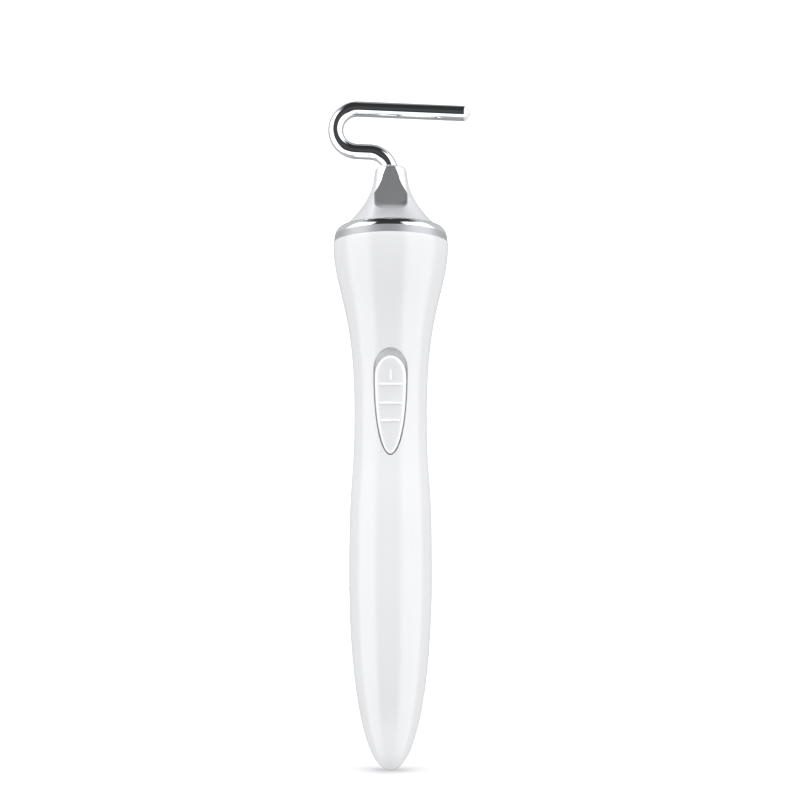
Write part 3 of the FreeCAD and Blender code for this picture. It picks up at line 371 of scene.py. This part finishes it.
def glass(name, colour, gloss, clear):
    """Ground and polished glass with the faintest ripple."""
    material, tree, shader = new_material(name)
    ripple = noise(tree, 700.0, detail=2.0)
    tree.links.new(mix(tree, ripple, shade(colour, 0.98), colour), shader.inputs["Base Color"])
    tree.links.new(linear(tree, ripple, gloss * 0.8, gloss * 1.2), shader.inputs["Roughness"])
    shader.inputs["IOR"].default_value = 1.52
    shader.inputs["Transmission Weight"].default_value = clear
    bump(tree, shader, ripple, 0.001 * MM)
    return material


def circuit_board():
    """Green solder mask over copper tracks that run up the board."""
    material, tree, shader = new_material("circuit_board")
    tracks = noise(tree, 900.0, (1.0, 1.0, 0.12), detail=0.0)
    edge = tree.nodes.new("ShaderNodeMapRange")
    edge.inputs["From Min"].default_value = 0.49
    edge.inputs["From Max"].default_value = 0.51
    tree.links.new(tracks, edge.inputs["Value"])
    tint = mix(tree, edge.outputs["Result"], (0.02, 0.16, 0.08), (0.04, 0.27, 0.13))
    tree.links.new(tint, shader.inputs["Base Color"])
    tree.links.new(linear(tree, noise(tree, 3000.0), 0.22, 0.4), shader.inputs["Roughness"])
    bump(tree, shader, edge.outputs["Result"], 0.02 * MM)
    return material


def copper_winding():
    """Enamelled wire, its turns wound round the upright axis."""
    material, tree, shader = new_material("copper_winding")
    wave = tree.nodes.new("ShaderNodeTexWave")
    wave.wave_type = "RINGS"
    wave.rings_direction = "Z"
    wave.inputs["Scale"].default_value = 640.0
    coordinates = tree.nodes.new("ShaderNodeTexCoord")
    tree.links.new(coordinates.outputs["Object"], wave.inputs["Vector"])
    turns = wave.outputs["Fac"]
    tree.links.new(mix(tree, turns, (0.30, 0.10, 0.04), (0.80, 0.36, 0.18)), shader.inputs["Base Color"])
    tree.links.new(linear(tree, noise(tree, 2000.0), 0.2, 0.35), shader.inputs["Roughness"])
    shader.inputs["Metallic"].default_value = 0.8
    bump(tree, shader, turns, 0.08 * MM)
    return material


def slot_materials():
    """One material for each slot of the record."""
    return {
        "white_plastic": moulded_plastic("white_plastic", WHITE, 0.14),
        "grey_plastic": moulded_plastic("grey_plastic", (0.80, 0.805, 0.82), 0.45, 5000.0, 0.012 * MM),
        "black_plastic": moulded_plastic("black_plastic", (0.035, 0.035, 0.04), 0.4, 5000.0, 0.012 * MM),
        "chip_black": moulded_plastic("chip_black", (0.02, 0.02, 0.022), 0.5, 12000.0, 0.01 * MM),
        "led_package": moulded_plastic("led_package", (0.85, 0.74, 0.28), 0.25, 6000.0),
        "ferrite": moulded_plastic("ferrite", (0.06, 0.06, 0.065), 0.6, 8000.0, 0.02 * MM),
        "battery_sleeve": moulded_plastic("battery_sleeve", (0.04, 0.12, 0.30), 0.22, 2500.0, coat=0.4),
        "satin_trim": worked_metal("satin_trim", (0.40, 0.405, 0.42), 0.38, turned=0.4, metallic=0.45),
        "turned_aluminium": worked_metal("turned_aluminium", (0.78, 0.79, 0.80), 0.25, turned=0.4),
        "chrome_nose": plated_nose(),
        "spring_steel": worked_metal("spring_steel", (0.55, 0.56, 0.58), 0.22),
        "polished_steel": worked_metal("polished_steel", (0.80, 0.81, 0.83), 0.07, depth=0.0001 * MM),
        "screw_steel": worked_metal("screw_steel", (0.62, 0.63, 0.65), 0.28, (1, 1, 1), 2500.0),
        "nickel_strip": worked_metal("nickel_strip", (0.66, 0.63, 0.57), 0.3, UP_THE_AXIS),
        "black_rubber": rubber("black_rubber", (0.02, 0.02, 0.02)),
        "grey_rubber": rubber("grey_rubber", (0.30, 0.32, 0.34)),
        "red_insulation": rubber("red_insulation", (0.50, 0.03, 0.02), 0.05),
        "black_insulation": rubber("black_insulation", (0.02, 0.02, 0.02), 0.05),
        "clear_glass": glass("clear_glass", (0.93, 0.96, 0.97), 0.03, 0.7),
        "glass_fibre": glass("glass_fibre", (0.88, 0.92, 0.93), 0.15, 0.35),
        "circuit_board": circuit_board(),
        "copper_winding": copper_winding(),
    }


# ---------- mesh helpers ----------

SHARP = 40
SHARP_RIDGE = 60


def mesh_object(name, points, faces):
    mesh = bpy.data.meshes.new(name)
    mesh.from_pydata(points, [], faces)
    mesh.update()
    piece = bpy.data.objects.new(name, mesh)
    bpy.context.scene.collection.objects.link(piece)
    return piece


def finished(name, points, faces, sharp):
    """A piece with doubled points joined, faces turned outwards, and edges over sharp degrees left hard."""
    piece = mesh_object(name, points, faces)
    work = bmesh.new()
    work.from_mesh(piece.data)
    bmesh.ops.remove_doubles(work, verts=work.verts, dist=0.0005 * MM)
    bmesh.ops.recalc_face_normals(work, faces=work.faces)
    work.to_mesh(piece.data)
    work.free()
    piece.data.shade_smooth()
    piece.data.set_sharp_from_angle(angle=math.radians(sharp))
    return piece


def ring_faces(rings, count):
    """Faces between rings of count points, one ring after another."""
    faces = []
    for start in range(0, (rings - 1) * count, count):
        for i in range(count):
            j = (i + 1) % count
            faces.append((start + i, start + j, start + count + j, start + count + i))
    return faces


def dress(piece, material):
    piece.data.materials.clear()
    piece.data.materials.append(material)


def dress_frame():
    """Gives each CAD node the material of its slot."""
    slot_of = {row["node"]: row["material_slot"] for row in frame["record"]["subparts"]}
    for name, node in frame["nodes"].items():
        dress(node, materials[slot_of[name]])


# ---------- handle outline, in millimetres, as in the CAD ----------

HANDLE_HEIGHT = 173.7
RIM_RADIUS = 19.3
NECK_RADIUS = 12.05
NECK_HEIGHT = 116.0
BELLY_RADIUS = 13.6
BELLY_HEIGHT = 64.6
WALL = 1.8
FOOT = ((0, 0), (0.685 * BELLY_RADIUS, 0), (BELLY_RADIUS, 0.49 * BELLY_HEIGHT), (BELLY_RADIUS, BELLY_HEIGHT))
WAIST = NECK_HEIGHT - BELLY_HEIGHT
GRIP = ((BELLY_RADIUS, BELLY_HEIGHT), (BELLY_RADIUS, BELLY_HEIGHT + 0.705 * WAIST),
        (NECK_RADIUS, NECK_HEIGHT - 0.525 * WAIST), (NECK_RADIUS, NECK_HEIGHT))
SHOULDER = HANDLE_HEIGHT - NECK_HEIGHT
FLARE = ((NECK_RADIUS, NECK_HEIGHT), (NECK_RADIUS, NECK_HEIGHT + 0.627 * SHOULDER),
         (RIM_RADIUS, HANDLE_HEIGHT - 0.277 * SHOULDER), (RIM_RADIUS, HANDLE_HEIGHT))

# The recess and the slider, both teardrops seen from the front: bottom, top, half width, the height of
# the widest place, and how far the point and the flanks hold their direction.
RECESS = (101.5, 136.6, 5.52, 129.5, 2.6, 109.5)
SLIDER = (101.95, 133.95, 5.17, 127.3, 2.3, 110.5)
SPINE = (108.0, 128.0)
SLIDER_PROUD = 0.2
SLIDER_BACK = -10.2
RIDGES = ((124.55, 7.9), (118.4, 7.4), (112.75, 6.5))
RIDGE_WIDTH = 0.75
RIDGE_PROUD = 0.35
RIDGE_SUNK = 0.12
MARK = (125.8, 129.45)

SEAM_ROUND = 0.16
LIP_ROUND = 0.3
RIM_ROUND = 1.3
RIM_DROP = 0.6
PATCH = (99.0, 139.0)
PATCH_ANGLE = 37.5


def bezier(poles, t):
    s = 1 - t
    weights = (s ** 3, 3 * s * s * t, 3 * s * t * t, t ** 3)
    return tuple(sum(w * p[i] for w, p in zip(weights, poles)) for i in (0, 1))


def crossing(poles, height):
    """How far out a curve that climbs with its parameter is at a height."""
    low, high = 0.0, 1.0
    for _ in range(26):
        t = (low + high) / 2
        if bezier(poles, t)[1] < height:
            low = t
        else:
            high = t
    return bezier(poles, low)[0]


def radius_at(z):
    """The handle's radius at a height."""
    poles = FOOT if z < BELLY_HEIGHT else GRIP if z < NECK_HEIGHT else FLARE
    return crossing(poles, z)


def lean_at(z, step=0.05):
    """The outline's outward normal at a height, as its parts away from and along the axis."""
    z = min(max(z, step), HANDLE_HEIGHT - step)
    slope = (radius_at(z + step) - radius_at(z - step)) / (2 * step)
    length = math.hypot(1, slope)
    return 1 / length, -slope / length


def half_width(shape, z, grow=0.0):
    """Half the width of a teardrop at a height, with the teardrop grown by grow all round."""
    bottom, top, half, widest, point, flank = shape
    bottom, top, half, point = bottom - grow, top + grow, half + grow, max(0.2, point + grow / 2)
    if not bottom < z < top:
        return -1.0
    if z > widest:
        return half * math.sqrt(max(0.0, 1 - ((z - widest) / (top - widest)) ** 2))
    return crossing(((0, bottom), (point, bottom), (half, flank), (half, widest)), z)


def edge_of(shape, grow, target):
    """Where the line from the teardrop's spine to a target point crosses the grown teardrop."""
    root = min(max(target[1], SPINE[0]), SPINE[1])
    low, high = 0.0, 1.0
    for _ in range(18):
        t = (low + high) / 2
        x, z = target[0] * t, root + (target[1] - root) * t
        if abs(x) < half_width(shape, z, grow):
            low = t
        else:
            high = t
    return target[0] * low, root + (target[1] - root) * low


def round_over(steps):
    """Points of a quarter round of radius 1: how far along the surface, and how deep below it."""
    angles = [math.pi / 2 * i / steps for i in range(steps + 1)]
    return [(1 - math.sin(a), 1 - math.cos(a)) for a in angles]


# ---------- handle shells ----------

def outline_rows():
    """Heights of the shells' rows: close at the tip, even above, with the patch's two edges among them."""
    rows = [bezier(FOOT, (i / 44) ** 1.3)[1] for i in range(1, 44)]
    rows.append(BELLY_HEIGHT)
    stops = [BELLY_HEIGHT, PATCH[0], PATCH[1], HANDLE_HEIGHT - SEAM_ROUND]
    for start, end in zip(stops, stops[1:]):
        count = round((end - start) / 1.6)
        rows += [start + (end - start) * i / count for i in range(1, count)]
        rows.append(end)
    return rows


COLUMNS = [i * 2.5 for i in range(-34, 35)]
EDGE = round_over(3)


class Shell:
    """Points, in millimetres, and faces of half the handle. side is -1 for the front half, 1 for the rear."""

    def __init__(self, side):
        self.side = side
        self.points = []
        self.faces = []

    def point(self, x, y, z):
        self.points.append((x, self.side * abs(y), z))
        return len(self.points) - 1

    def face(self, *corners):
        unique = [c for i, c in enumerate(corners) if c != corners[i - 1]]
        if len(unique) > 2:
            self.faces.append(tuple(unique))

    def strip(self, first, second):
        for a, b, c, d in zip(first, first[1:], second[1:], second):
            self.face(a, b, c, d)

    def ring(self, first, second):
        self.strip(first + first[:1], second + second[:1])

    def on_surface(self, x, z, depth):
        """A point straight behind (x, z) of the front view, sunk below the surface by depth."""
        outward, upward = lean_at(z)
        radius = radius_at(z + depth * upward) - depth * outward
        return self.point(x, math.sqrt(radius * radius - x * x), z)

    def row(self, z, depth):
        """Points from seam to seam at a height. The outer skin's ends are rounded down into the seam."""
        outward, upward = lean_at(z)
        radius = radius_at(z) - depth * outward
        size = SEAM_ROUND * min(1.0, radius / 2)
        seam = []
        for along, deep in reversed(EDGE):
            sunk = radius if depth else radius - deep * size
            y = along * size
            seam.append((math.sqrt(sunk * sunk - y * y), y))
        middle = [(radius * math.sin(a), radius * math.cos(a)) for a in map(math.radians, COLUMNS)]
        places = [(-x, y) for x, y in seam] + middle + seam[::-1]
        return [self.point(x, y, z - depth * upward) for x, y in places]

    def skin(self, depth, recess):
        """One skin, outer or inner. Returns its rows, and the edge of the hole left for the recess."""
        heights = outline_rows()
        skin = [self.row(z, depth) for z in heights]
        skin.insert(0, [self.point(0, 0, depth)] * len(skin[0]))
        if not depth:
            top = [self.points[i] for i in skin[-1]]
            for along, deep in EDGE[1:]:
                share = 1 - deep * SEAM_ROUND / RIM_RADIUS
                z = HANDLE_HEIGHT - along * SEAM_ROUND
                skin.append([self.point(x * share, y * share, z) for x, y, _ in top])
        low = 1 + heights.index(PATCH[0])
        high = 1 + heights.index(PATCH[1])
        left = len(EDGE) + COLUMNS.index(-PATCH_ANGLE)
        right = len(EDGE) + COLUMNS.index(PATCH_ANGLE)
        for j in range(len(skin) - 1):
            for i in range(len(skin[0]) - 1):
                if not (recess and low <= j < high and left <= i < right):
                    self.face(skin[j][i], skin[j + 1][i], skin[j + 1][i + 1], skin[j][i + 1])
        border = [skin[j][left] for j in range(low, high)] + skin[high][left:right]
        border += [skin[j][right] for j in range(high, low, -1)] + skin[low][right:left:-1]
        return skin, border

    def patch(self, border, depth, lip):
        """Rings from the hole's border in to the recess, rounded over where there is a lip."""
        targets = [(self.points[i][0], self.points[i][2]) for i in border]
        brink = [edge_of(RECESS, lip, target) for target in targets]
        rings = [border]
        for share in (0.2, 0.42, 0.65, 0.85):
            places = [(t[0] + (e[0] - t[0]) * share, t[1] + (e[1] - t[1]) * share)
                      for t, e in zip(targets, brink)]
            rings.append([self.on_surface(x, z, depth) for x, z in places])
        for along, deep in round_over(4) if lip else [(0, 0)]:
            places = [edge_of(RECESS, along * lip, target) for target in targets]
            rings.append([self.on_surface(x, z, depth + deep * lip) for x, z in places])
        for near, far in zip(rings, rings[1:]):
            self.ring(near, far)
        return rings[-1]


def handle_shell(name, node, side, recess):
    """Half the handle: an outer and an inner skin, joined at the seam, the rim and round any recess."""
    shell = Shell(side)
    outer, outer_border = shell.skin(0.0, recess)
    inner, inner_border = shell.skin(WALL, recess)
    for i in (0, -1):
        inside_edge = [row[i] for row in inner]
        inside_edge += inside_edge[-1:] * (len(outer) - len(inner))
        shell.strip([row[i] for row in outer], inside_edge)
    shell.strip(inner[-1], outer[-1])
    if recess:
        shell.ring(shell.patch(outer_border, 0.0, LIP_ROUND), shell.patch(inner_border, WALL, 0.0))
    points = [(x * MM, y * MM, z * MM) for x, y, z in shell.points]
    piece = finished(name, points, shell.faces, SHARP)
    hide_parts(node)
    return piece


# ---------- thumb slider ----------

def slider_surface(x, z, sunk):
    """A point of the slider's face, in metres, sunk below it by sunk millimetres."""
    radius = radius_at(z) + SLIDER_PROUD - sunk
    return (x * MM, -math.sqrt(radius * radius - x * x) * MM, z * MM)


def slider_cap():
    """The slider's crowned face, rounded over all round its teardrop, and its wall down to the bed."""
    count = 120
    middle = (SPINE[0] + SPINE[1]) / 2
    turns = [2 * math.pi * i / count for i in range(count)]
    reach = 22.0
    targets = [(0.45 * reach * math.sin(a), middle + reach * math.cos(a)) for a in turns]
    rings = []
    soft = [edge_of(SLIDER, -RIM_ROUND, target) for target in targets]
    for share in (0.0, 0.3, 0.6, 0.85):
        roots = [(0.0, min(max(t[1], SPINE[0]), SPINE[1])) for t in targets]
        rings.append([slider_surface(r[0] + (e[0] - r[0]) * share, r[1] + (e[1] - r[1]) * share, 0.0)
                      for r, e in zip(roots, soft)])
    for along, deep in round_over(8):
        edge = [edge_of(SLIDER, -along * RIM_ROUND, target) for target in targets]
        rings.append([slider_surface(x, z, deep * RIM_DROP) for x, z in edge])
    rings.append([(x, SLIDER_BACK * MM, z) for x, _, z in rings[-1]])
    points = [p for ring in rings for p in ring]
    faces = ring_faces(len(rings), count)
    last = (len(rings) - 1) * count
    faces.append(tuple(last + i for i in range(count)))
    piece = finished("slider_cap", points, faces, SHARP)
    # The rim attribute is 1 on the rounded rim and 0 on the face. The slider's material polishes the rim by
    # it, and also paints a highlight there as a whiter colour.
    rim = piece.data.attributes.new("rim", "FLOAT", "POINT")
    for vertex, value in zip(piece.data.vertices, rim.data):
        x, y, z = (c / MM for c in vertex.co)
        radius = radius_at(z) + SLIDER_PROUD
        sunk = radius - math.hypot(x, y)
        value.value = min(1.0, 10 * sunk / RIM_DROP)
    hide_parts("slide_button")
    return piece


def ridge(points, faces, centre, length, upright):
    """A bar with a rounded back, lying on the slider's face, closed underneath."""
    across, along = 8, 28
    start = len(points)
    for i in range(along + 1):
        u = 2 * i / along - 1
        end = math.sqrt(max(0.0, 1 - max(0.0, (abs(u) * length - length + RIDGE_WIDTH) / RIDGE_WIDTH) ** 2))
        for j in range(across + 1):
            turn = math.pi * j / across
            v = -math.cos(turn) * end * RIDGE_WIDTH / 2
            rise = (math.sin(turn) * end) ** 0.5 * RIDGE_PROUD
            x, z = (v, centre + u * length / 2) if upright else (u * length / 2, centre - v)
            points.append(slider_surface(x, z, -rise if rise > 0 else RIDGE_SUNK))
    row = across + 1
    for i in range(along):
        for j in range(across):
            a = start + i * row + j
            faces.append((a, a + row, a + row + 1, a + 1))
    for i in range(along):
        a = start + i * row
        faces.append((a, a + across, a + across + row, a + row))


def slider_ridges():
    """The three cross bars and the short upright bar on the slider's face."""
    points, faces = [], []
    for centre, length in RIDGES:
        ridge(points, faces, centre, length, False)
    ridge(points, faces, (MARK[0] + MARK[1]) / 2, MARK[1] - MARK[0], True)
    piece = finished("slider_ridges", points, faces, SHARP_RIDGE)
    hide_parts("slide_button")
    return piece


# ---------- light guide ----------

GUIDE_RADIUS = 2.6
GUIDE_WALL = 0.5
GUIDE_SIDES = 72
GUIDE_EDGE = 0.25
BEND_RADIUS = 7.4
BEND_START = 198.05
LOWER_LIMB = 4.6
TILT = math.radians(2.5)


def guide_path():
    """Points up the guide's middle line with their directions: stub, bend, limb, half turn, arm."""
    low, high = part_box("light_guide_tube")
    arm_end = high.x / MM - GUIDE_RADIUS * math.sin(TILT)
    path = [(0.0, low.z / MM, math.pi / 2), (0.0, BEND_START, math.pi / 2)]
    bend(path, math.pi - TILT, 26)
    run(path, LOWER_LIMB)
    bend(path, -TILT, 56)
    run(path, (arm_end - path[-1][0]) / math.cos(TILT))
    return path


def run(path, length):
    """Carries the path straight on."""
    x, z, heading = path[-1]
    path.append((x + length * math.cos(heading), z + length * math.sin(heading), heading))


def bend(path, heading, steps):
    """Turns the path to a heading on a circle of the bend radius."""
    x, z, start = path[-1]
    side = 1 if heading > start else -1
    centre = (x - side * BEND_RADIUS * math.sin(start), z + side * BEND_RADIUS * math.cos(start))
    for i in range(1, steps + 1):
        turned = start + (heading - start) * i / steps
        x = centre[0] + side * BEND_RADIUS * math.sin(turned)
        z = centre[1] - side * BEND_RADIUS * math.cos(turned)
        path.append((x, z, turned))


def guide_tube():
    """The bent steel tube, its arm's end rounded over to the window."""
    bore = GUIDE_RADIUS - GUIDE_WALL
    path = guide_path()
    rings = [(*path[0], bore), (*path[0], GUIDE_RADIUS)]
    rings += [(*stop, GUIDE_RADIUS) for stop in path[1:-1]]
    x, z, heading = path[-1]
    for along, deep in round_over(4):
        back = along * GUIDE_EDGE
        radius = GUIDE_RADIUS - deep * GUIDE_EDGE / 2
        rings.append((x - back * math.cos(heading), z - back * math.sin(heading), heading, radius))
    rings += [(*stop, bore) for stop in reversed(path)]
    points = []
    for x, z, heading, radius in rings:
        for i in range(GUIDE_SIDES):
            turn = 2 * math.pi * i / GUIDE_SIDES
            out = radius * math.cos(turn)
            points.append(((x - out * math.sin(heading)) * MM, radius * math.sin(turn) * MM,
                           (z + out * math.cos(heading)) * MM))
    piece = finished("guide_tube", points, ring_faces(len(rings), GUIDE_SIDES), SHARP)
    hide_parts("light_guide_tube")
    return piece


# ---------- making ----------

camera()
floor()
studio()
materials = slot_materials()
dress_frame()

handle_pieces = [
    handle_shell("shell_front", "front_shell", -1, True),
    handle_shell("shell_rear", "rear_shell", 1, False),
]
for piece in handle_pieces:
    dress(piece, materials["white_plastic"])
    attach(piece, "handle")
cap = slider_cap()
dress(cap, slider_plastic_painted_rim_highlight())
bars = slider_ridges()
# The bars are glossier than the face, and their whiter colour is a painted highlight.
dress(bars, moulded_plastic("ridge_plastic_painted_highlight", (0.95, 0.95, 0.955), 0.12))
for piece in (cap, bars):
    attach(piece, "slider")
tube = guide_tube()
dress(tube, materials["polished_steel"])
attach(tube, "light_guide")
dress(frame["nodes"]["tip_lens"], glass("tip_glass", (0.95, 0.97, 0.98), 0.04, 0.12))
